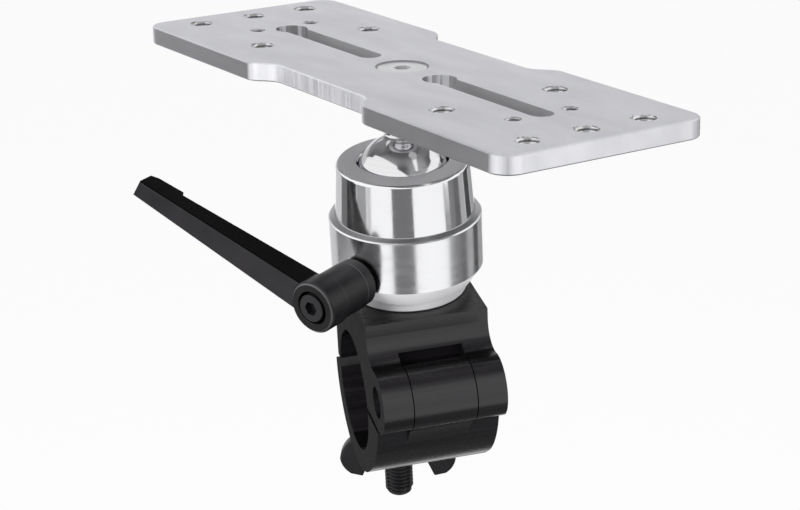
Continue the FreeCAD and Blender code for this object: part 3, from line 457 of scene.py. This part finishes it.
def black_coat(name, colour, rough, grain, height, specular=0.4, drawn_along=None, hub=None):
    """Black coating whose grain breaks up its sheen.

    drawn_along is the axis that drawing marks run along. The faces square to it are matt, and they and
    the faces that look up the head's axis take painted shade. hub is an axis, a point on it, a radius and
    heights: steps at the heights take thin lighter lines, wear with a painted edge highlight, and the hub's
    end and the arm's upward faces take painted shade.
    """
    m = Nodes(name)
    m.shader.inputs["Specular IOR Level"].default_value = specular
    fine = m.noise(m.coordinates((grain, grain, grain)), detail=4.0)
    if drawn_along is None:
        soft = m.noise(m.coordinates(SOFT_WAVES))
    else:
        soft = m.noise(m.coordinates(DRAWING_WAVES, axis=drawn_along, origin=EYE_CENTRE), detail=4.0)
    m.tint(soft, [c * COAT_DARK for c in colour], [c * COAT_LIGHT for c in colour])
    sheen = m.spread(soft, rough - SHEEN_SPREAD, rough + SHEEN_SPREAD)
    if drawn_along is not None:
        # Painted shade on the clamp's matt faces and on its faces that look up the head's axis
        cut = m.facing(drawn_along)
        top = m.over(m.towards(HEAD_AXIS), CLAMP_TOP)
        sheen = m.between(cut, sheen, m.spread(soft, *MATT_ROUGH))
        m.paint_shade(m.times(m.math("MAXIMUM", cut, top), PAINTED_SHADE_SHARE))
    if hub is not None:
        axis, origin, radius, steps = hub
        # Thin lighter lines at the hub's steps: wear with a painted edge highlight
        wear_and_highlight = 0.0
        for at in steps:
            rise = m.height_mask(axis, origin, at - WEAR_AND_HIGHLIGHT_WIDTH, at)
            fall = m.height_mask(axis, origin, at + WEAR_AND_HIGHLIGHT_WIDTH, at)
            wear_and_highlight = m.math("MAXIMUM", wear_and_highlight, m.times(rise, fall))
        m.shaded(m.times(wear_and_highlight, m.spread(soft, *WEAR_AND_HIGHLIGHT_SHARE)), WEAR_AND_HIGHLIGHT_COLOUR)
        # Painted shade on the hub's end face and on the arm's upward faces
        x, y, _ = m.split(m.coordinates(axis=axis, origin=origin))
        near = m.in_circle(x, y, radius)
        upward = m.times(m.over(m.towards(UP), UPWARD), m.opposite(near))
        end = m.times(m.facing(axis, HUB_END), near, PAINTED_SHADE_SHARE)
        m.paint_shade(m.math("MAXIMUM", upward, end))
    m.plug(sheen, "Roughness")
    m.bump(fine, height)
    return m.material


FINISHES = {
    "plate_alloy": satin_aluminium(),
    "polished_alloy": polished("polished_aluminium", HEAD_AXIS, (0.90, 0.90, 0.91), (0.95, 0.95, 0.96),
                               (0.07, 0.12), TURNED_PITCH, 0.003 * MM),
    "polished_steel": polished("polished_steel", PLATE_AXIS, (0.78, 0.78, 0.79), (0.84, 0.84, 0.85),
                               (0.08, 0.12), 1.2 * MM, 0.002 * MM),
    "screw_steel": polished("screw_steel", PLATE_AXIS, (0.74, 0.74, 0.75), (0.88, 0.88, 0.89),
                            (0.22, 0.34), 0.25 * MM, 0.006 * MM, strength=0.3),
    "spring_steel": plain_finish("spring_steel", METAL_WAVES, (0.45, 0.45, 0.46), (0.55, 0.55, 0.56),
                                 (0.2, 0.3)),
    "pad_brass": plain_finish("pad_brass", METAL_WAVES, (0.60, 0.42, 0.16), (0.70, 0.50, 0.20),
                              (0.25, 0.35)),
    "cup_plastic": plain_finish("cup_plastic", FINE_WAVES, (0.62, 0.62, 0.60), (0.713, 0.713, 0.69),
                                (0.40, 0.48), metallic=0.0),
    "lever_coat": black_coat("lever_coat", (0.0064, 0.0056, 0.0068), 0.40, 1500, 0.008 * MM, specular=0.43,
                             hub=(LEVER_AXIS, LEVER_PLACE, HUB_RADIUS, HUB_STEPS)),
    "clamp_black": black_coat("clamp_black", (0.0060, 0.0052, 0.0064), 0.27, 1200, 0.006 * MM, specular=0.62,
                              drawn_along=TUBE_AXIS),
    "black_steel": black_coat("black_steel", (0.007, 0.007, 0.008), 0.28, 1800, 0.010 * MM),
}
# Cut threads, darker than the plate: partly the threads' own darker tone, partly painted shade in the holes
SHADED_THREAD_FINISH = plain_finish("cut_thread_with_painted_shade", FINE_WAVES, (0.62, 0.62, 0.63), (0.76, 0.76, 0.77), (0.10, 0.16))

# Finishes of single pieces, where the slot's own finish changes along the piece
PIECE_FINISHES = {
    "head_body": polished_with_bands(
        "polished_body", (0.15, 0.22),
        (*below(CONE_TOP), (0.35, 0.55), 0.05, (0.92, 0.92, 0.94)),
        (*above(BODY_RIM), (0.30, 0.40), 1.0, (0.58, 0.58, 0.59))),
    "socket_ring": polished_with_bands(
        "polished_collar", (0.07, 0.12),
        (*above(COLLAR_RIM), (0.45, 0.55), 1.0, (0.90, 0.90, 0.92))),
    "plate_screw": polished_with_bands(
        "plate_screw_steel", (0.22, 0.34),
        (*below(SOCKET_MOUTH), (0.30, 0.40), 0.5, (0.50, 0.50, 0.51)), axis=PLATE_AXIS),
    "head_base": polished_with_bands(
        "satin_base", (0.35, 0.50),
        (*above(FAR_BELOW), (0.35, 0.50), 0.35, (0.90, 0.90, 0.92))),
}

for entry in record["subparts"]:
    slots = nodes[entry["node"]].data.materials
    slots.clear()
    slots.append(PIECE_FINISHES.get(entry["node"], FINISHES[entry["material_slot"]]))


# Threads, as ridges on the plain walls

RIDGE_STEPS = 28
FLANK_SHARE = 0.48
FADE_TURNS = 0.4
LEAST_FADE = 0.02
RIDGE_SINK = 0.02 * MM
SMOOTH_ANGLE = math.radians(32)


def spot(place, radius, angle, z):
    """A point at a radius, an angle and a height in the axes of place."""
    return place @ Vector((radius * math.cos(angle), radius * math.sin(angle), z))


def bridge(bm, rows, closed):
    """Faces between rows of vertices that follow each other; closed rows join up with their own start."""
    for a, b in zip(rows, rows[1:]):
        for k in range(len(a) if closed else len(a) - 1):
            j = (k + 1) % len(a)
            bm.faces.new((a[k], a[j], b[j], b[k]))


def cap(bm, rows):
    """Closes the first and the last row with a face each."""
    bm.faces.new(rows[0])
    bm.faces.new(list(reversed(rows[-1])))


def helix_ridge(bm, place, radius, tip_radius, pitch, length, crest):
    """A thread's ridge: a trapezoid swept along a helix about the z axis of place, from z = 0 down."""
    count = int(length / pitch * RIDGE_STEPS)
    fade_steps = RIDGE_STEPS * FADE_TURNS
    rows = []
    for i in range(count + 1):
        angle = 2 * math.pi * i / RIDGE_STEPS
        z = -pitch * i / RIDGE_STEPS
        fade = max(min(1.0, i / fade_steps, (count - i) / fade_steps), LEAST_FADE)
        tip = radius + (tip_radius - radius) * fade
        flank = pitch * FLANK_SHARE * fade
        top = crest / 2 * fade
        outline = ((radius, flank), (tip, top), (tip, -top), (radius, -flank))
        rows.append([bm.verts.new(spot(place, r, angle, z + dz)) for r, dz in outline])
    bridge(bm, rows, closed=False)
    cap(bm, rows)


def piece_from(bm, name, finish, body):
    """A smooth visible piece that rides on a body."""
    bmesh.ops.recalc_face_normals(bm, faces=bm.faces)
    mesh = bpy.data.meshes.new(name)
    bm.to_mesh(mesh)
    bm.free()
    obj = bpy.data.objects.new(name, mesh)
    bpy.context.scene.collection.objects.link(obj)
    mesh.materials.append(finish)
    for polygon in mesh.polygons:
        polygon.use_smooth = True
    mesh.set_sharp_from_angle(angle=SMOOTH_ANGLE)
    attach(obj, body)
    return obj


LARGE_PITCH = 1.5875 * MM
SMALL_PITCH = 1.27 * MM
HOLE_PITCHES = {"corner_holes": LARGE_PITCH, "end_holes": LARGE_PITCH,
                "inner_holes": LARGE_PITCH, "small_holes": SMALL_PITCH}
THREAD_MOUTH = 0.22 * MM
THREAD_DEPTH = 0.45 * MM
HOLE_CREST_SHARE = 0.15


def tapped_holes():
    """A thread in each of the plate's tapped holes, at the places that the mounts give."""
    bm = bmesh.new()
    for name, pitch in HOLE_PITCHES.items():
        dims = mounts[name]["dims"]
        centre = Vector(mounts[name]["pos_m"])
        half_x = dims["spacing_x_mm"] * MM / 2
        half_y = dims.get("spacing_y_mm", 0) * MM / 2
        radius = dims["hole_r_mm"] * MM
        for sx in (-1, 1):
            for sy in ((-1, 1) if half_y else (0,)):
                mouth = Vector((centre.x + sx * half_x, centre.y + sy * half_y, PLATE_HIGH.z - THREAD_MOUTH))
                helix_ridge(bm, Matrix.Translation(mouth), radius + RIDGE_SINK, radius - THREAD_DEPTH, pitch,
                            PLATE_THICKNESS - 2 * THREAD_MOUTH, pitch * HOLE_CREST_SHARE)
    piece_from(bm, "tapped_threads", SHADED_THREAD_FINISH, "plate")


tapped_holes()


# Swing bolt with its thread

BOLT_RADIUS = 6.0 * MM
BOLT_ROOT = 5.15 * MM
BOLT_PITCH = 1.75 * MM
BOLT_LENGTH = 85.6 * MM
BOLT_TIP = 1.2 * MM
BOLT_PLAIN = 22.0 * MM
BOLT_CREST_SHARE = 0.2
SHANK_START_SHARE = 0.6
EYE_RADIUS = 9.8 * MM
EYE_WIDTH = 12.4 * MM
EYE_BORE = 4.05 * MM
EYE_EDGE = 1.2 * MM
TURN_SEGMENTS = 48


def axes_to_frame(origin, z_axis, x_axis):
    """Axes at an origin with the given z, and x as near as can be to x_axis."""
    z = z_axis.normalized()
    x = (x_axis - z * x_axis.dot(z)).normalized()
    y = z.cross(x)
    turn = Matrix((x, y, z)).transposed().to_4x4()
    return Matrix.Translation(origin) @ turn


def ring_stack(bm, place, outline, hollow):
    """Turns an outline of (radius, z) points about the z axis of place; a hollow one closes on itself."""
    rings = [[bm.verts.new(spot(place, r, 2 * math.pi * i / TURN_SEGMENTS, z)) for i in range(TURN_SEGMENTS)]
             for r, z in outline]
    if hollow:
        bridge(bm, rings + rings[:1], closed=True)
    else:
        bridge(bm, rings, closed=True)
        cap(bm, rings)


def threaded_bolt():
    """The swing bolt's shank with its thread, and the eye at its top."""
    bm = bmesh.new()
    shank = axes_to_frame(EYE_CENTRE, HEAD_AXIS, TUBE_AXIS)
    shank_outline = [(BOLT_RADIUS, -EYE_RADIUS * SHANK_START_SHARE), (BOLT_RADIUS, -BOLT_PLAIN),
                     (BOLT_ROOT, -BOLT_PLAIN - BOLT_TIP), (BOLT_ROOT, -BOLT_LENGTH + BOLT_TIP / 2),
                     (BOLT_ROOT - BOLT_TIP / 2, -BOLT_LENGTH)]
    ring_stack(bm, shank, shank_outline, hollow=False)
    top = shank @ Matrix.Translation((0, 0, -BOLT_PLAIN - BOLT_PITCH / 2))
    helix_ridge(bm, top, BOLT_ROOT - RIDGE_SINK, BOLT_RADIUS, BOLT_PITCH,
                BOLT_LENGTH - BOLT_PLAIN - BOLT_PITCH - BOLT_TIP / 2, BOLT_PITCH * BOLT_CREST_SHARE)
    eye = axes_to_frame(EYE_CENTRE, TUBE_AXIS, HEAD_AXIS)
    half = EYE_WIDTH / 2
    rim = EYE_RADIUS - EYE_EDGE
    eye_outline = [(EYE_BORE, -half), (rim, -half), (EYE_RADIUS, -half + EYE_EDGE),
                   (EYE_RADIUS, half - EYE_EDGE), (rim, half), (EYE_BORE, half)]
    ring_stack(bm, eye, eye_outline, hollow=True)
    bolt = piece_from(bm, "threaded_bolt", FINISHES["black_steel"], "bolt")
    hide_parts("swing_bolt")


threaded_bolt()


# Spring in the lever's hub. On the real lever it is pressed together when the lever is pulled out

COIL_RADIUS = 4.6 * MM
WIRE_RADIUS = 0.4 * MM
COIL_TURNS = 4
COIL_STEPS = 28
COIL_SIDES = 10


def coil_spring():
    """A coiled wire as long as the plain sleeve that it stands for."""
    low, high = reach_along("lever_spring", LIFT_AXIS, LEVER_PLACE)
    length = high - low
    place = axes_to_frame(LEVER_PLACE, LIFT_AXIS, HEAD_AXIS)
    count = COIL_TURNS * COIL_STEPS
    bm = bmesh.new()
    rings = []
    for i in range(count + 1):
        turn = 2 * math.pi * i / COIL_STEPS
        # Half a turn at each end is flat
        share = min(1.0, max(0.0, (i - COIL_STEPS / 2) / (count - COIL_STEPS)))
        z = low + WIRE_RADIUS + (length - 2 * WIRE_RADIUS) * share
        ring = []
        for k in range(COIL_SIDES):
            side = 2 * math.pi * k / COIL_SIDES
            radius = COIL_RADIUS + WIRE_RADIUS * math.cos(side)
            ring.append(bm.verts.new(spot(place, radius, turn, z + WIRE_RADIUS * math.sin(side))))
        rings.append(ring)
    bridge(bm, rings, closed=True)
    cap(bm, rings)
    coil = piece_from(bm, "coil_spring", FINISHES["spring_steel"], "stud")
    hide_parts("lever_spring")
    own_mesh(coil)


coil_spring()


# Studio: pale floor, white surroundings, soft lamps, and grey cards that are seen only as reflections

STUDIO_CENTRE = Vector((0.0, 0.0, 0.09))
WORLD_SEEN = 1.0
WORLD_LIGHT = 0.55
FLOOR_DROP = 0.78
FLOOR_REACH = 40.0
FLOOR_GLOW = 0.92
FLOOR_ROUGH = 0.8
FLOOR_COLOURS = (0.80, 0.80, 0.80), (0.82, 0.82, 0.82)
CARD_DISTANCE = 0.9
CARD_BEND = 12.0
CARD_BLUE = 1.01
FLAT_CARD_TURN = 30
CARDS = (
    # from and to, degrees to the right of the camera as the object sees it, foot, top, shade
    (-160.0, -128.0, -0.77, 0.30, 0.60),
    (-128.0, -87.0, -0.77, -0.335, 0.42),
    (-128.0, -110.0, -0.335, 0.08, 0.16),
    (-110.0, -87.0, -0.335, 0.08, 0.04),
    (-86.0, -66.0, -0.36, -0.20, 0.33),
    (-86.0, -66.0, -0.77, -0.36, 0.75),
    (-65.0, -57.0, -0.77, -0.20, 0.60),
    (-20.0, 15.0, -0.77, 0.05, 0.17),
    (70.0, 80.0, -0.77, -0.20, 0.28),
    (80.0, 92.0, -0.77, -0.02, 0.20),
    (92.0, 105.0, -0.77, 0.02, 0.13),
    (105.0, 119.0, -0.77, 0.30, 0.40),
    (120.0, 139.0, -0.77, 0.30, 0.06),
    (140.0, 164.0, -0.77, 0.30, 0.34),
)
BACK_CARDS = (
    # from and to, distance, foot, top, shade
    (125.0, 235.0, 1.6, 0.12, 0.98, 0.74),
    (125.0, 235.0, 1.6, 0.98, 1.30, 0.32),
    (110.0, 250.0, 1.6, 1.30, 2.60, 0.05),
)
FLAT_CARDS = (
    # reach, height, shade
    (0.42, -0.45, 0.12),
    (2.00, 2.60, 0.46),
)
LAMPS = (
    # name, place, size, power
    ("lamp_above", (-0.3, 0.2, 1.5), 1.4, 16.0),
    ("lamp_left", (0.2, -1.4, 0.6), 1.0, 34.0),
    ("lamp_right", (1.3, 0.5, 0.5), 1.0, 10.0),
)


def level_by_ray(tree, seen_level, light_level):
    """One level to the camera and to mirror and glass rays, and another to everything else."""
    path = tree.nodes.new("ShaderNodeLightPath")
    seen = path.outputs["Is Camera Ray"]
    for other in ("Is Glossy Ray", "Is Transmission Ray"):
        larger = tree.nodes.new("ShaderNodeMath")
        larger.operation = "MAXIMUM"
        tree.links.new(seen, larger.inputs[0])
        tree.links.new(path.outputs[other], larger.inputs[1])
        seen = larger.outputs[0]
    level = tree.nodes.new("ShaderNodeMapRange")
    level.inputs["To Min"].default_value = light_level
    level.inputs["To Max"].default_value = seen_level
    tree.links.new(seen, level.inputs["Value"])
    return level.outputs[0]


def white_world():
    world = bpy.data.worlds.new("studio")
    bpy.context.scene.world = world
    world.use_nodes = True
    tree = world.node_tree
    background = tree.nodes["Background"]
    background.inputs["Color"].default_value = (1, 1, 1, 1)
    tree.links.new(level_by_ray(tree, WORLD_SEEN, WORLD_LIGHT), background.inputs["Strength"])


def floor_material():
    """Pale floor that is near white to the camera and still takes the object's shadow."""
    m = Nodes("pale_floor")
    m.shader.inputs["Roughness"].default_value = FLOOR_ROUGH
    m.shader.inputs["Specular IOR Level"].default_value = 0.0
    m.tint(m.noise(m.coordinates(FLOOR_WAVES)), *FLOOR_COLOURS)
    glow = m.add("ShaderNodeEmission", Strength=1.0, Color=(1, 1, 1, 1))
    mix = m.add("ShaderNodeMixShader")
    m.link(level_by_ray(m.tree, FLOOR_GLOW, 0.0), mix.inputs[0])
    m.link(m.shader.outputs[0], mix.inputs[1])
    m.link(glow.outputs[0], mix.inputs[2])
    m.link(mix.outputs[0], m.tree.nodes["Material Output"].inputs["Surface"])
    return m.material


def card_material(shade):
    """A plain grey glow."""
    m = Nodes("card_%03d" % round(shade * 1000))
    glow = m.add("ShaderNodeEmission", Strength=1.0, Color=(shade, shade, shade * CARD_BLUE, 1))
    m.link(glow.outputs[0], m.tree.nodes["Material Output"].inputs["Surface"])
    return m.material


def stage_mesh(name, corners, material):
    mesh = bpy.data.meshes.new(name)
    mesh.from_pydata([tuple(c) for c in corners], [], [tuple(range(len(corners)))])
    mesh.materials.append(material)
    obj = bpy.data.objects.new(name, mesh)
    bpy.context.scene.collection.objects.link(obj)
    return obj


def around(angle, distance, height):
    """A point round the studio's centre, at an angle to the right of the camera."""
    towards = CAMERA_PLACE - STUDIO_CENTRE
    a = math.atan2(towards.y, towards.x) + math.radians(angle)
    x = STUDIO_CENTRE.x + distance * math.cos(a)
    y = STUDIO_CENTRE.y + distance * math.sin(a)
    return Vector((x, y, height))


def mirrored_card(name, corners, shade):
    """A card that glossy surfaces mirror, and that is hidden otherwise."""
    card = stage_mesh(name, corners, card_material(shade))
    card.visible_camera = False
    card.visible_diffuse = False
    card.visible_shadow = False


def curved_card(name, start, end, distance, foot, top, shade):
    """An upright card that bends round the object between two angles from the camera."""
    steps = max(1, round((end - start) / CARD_BEND))
    for step in range(steps):
        low = start + (end - start) * step / steps
        high = start + (end - start) * (step + 1) / steps
        corners = [around(low, distance, foot), around(high, distance, foot),
                   around(high, distance, top), around(low, distance, top)]
        mirrored_card("%s_%d" % (name, step), corners, shade)


def lamp(name, place, size, power):
    """A square lamp that points at the studio's centre and isn't mirrored."""
    data = bpy.data.lights.new(name, "AREA")
    data.shape = "SQUARE"
    data.size = size
    data.energy = power
    obj = bpy.data.objects.new(name, data)
    bpy.context.scene.collection.objects.link(obj)
    obj.location = place
    obj.rotation_mode = "QUATERNION"
    obj.rotation_quaternion = (STUDIO_CENTRE - Vector(place)).to_track_quat("-Z", "Y")
    obj.visible_glossy = False


def studio():
    white_world()
    corners = [(sx * FLOOR_REACH, sy * FLOOR_REACH, -FLOOR_DROP)
               for sx, sy in ((-1, -1), (1, -1), (1, 1), (-1, 1))]
    stage_mesh("floor", corners, floor_material())
    for number, (start, end, foot, top, shade) in enumerate(CARDS):
        curved_card("card_%d" % number, start, end, CARD_DISTANCE, foot, top, shade)
    for number, sizes in enumerate(BACK_CARDS):
        curved_card("card_back_%d" % number, *sizes)
    for number, (reach, height, shade) in enumerate(FLAT_CARDS):
        ring = [around(angle, reach, height) for angle in range(0, 360, FLAT_CARD_TURN)]
        mirrored_card("card_flat_%d" % number, ring, shade)
    for row in LAMPS:
        lamp(*row)


def camera():
    data = bpy.data.cameras.new("camera")
    data.sensor_width = SENSOR
    data.lens = CAMERA_LENS
    data.clip_start, data.clip_end = CAMERA_CLIP
    obj = bpy.data.objects.new("camera", data)
    bpy.context.scene.collection.objects.link(obj)
    look = (CAMERA_AIM - CAMERA_PLACE).to_track_quat("-Z", "Y")
    obj.rotation_mode = "QUATERNION"
    obj.rotation_quaternion = look @ Quaternion((0, 0, 1), CAMERA_ROLL)
    obj.location = CAMERA_PLACE
    bpy.context.scene.camera = obj


studio()
camera()
bpy.context.scene.view_settings.view_transform = "Standard"
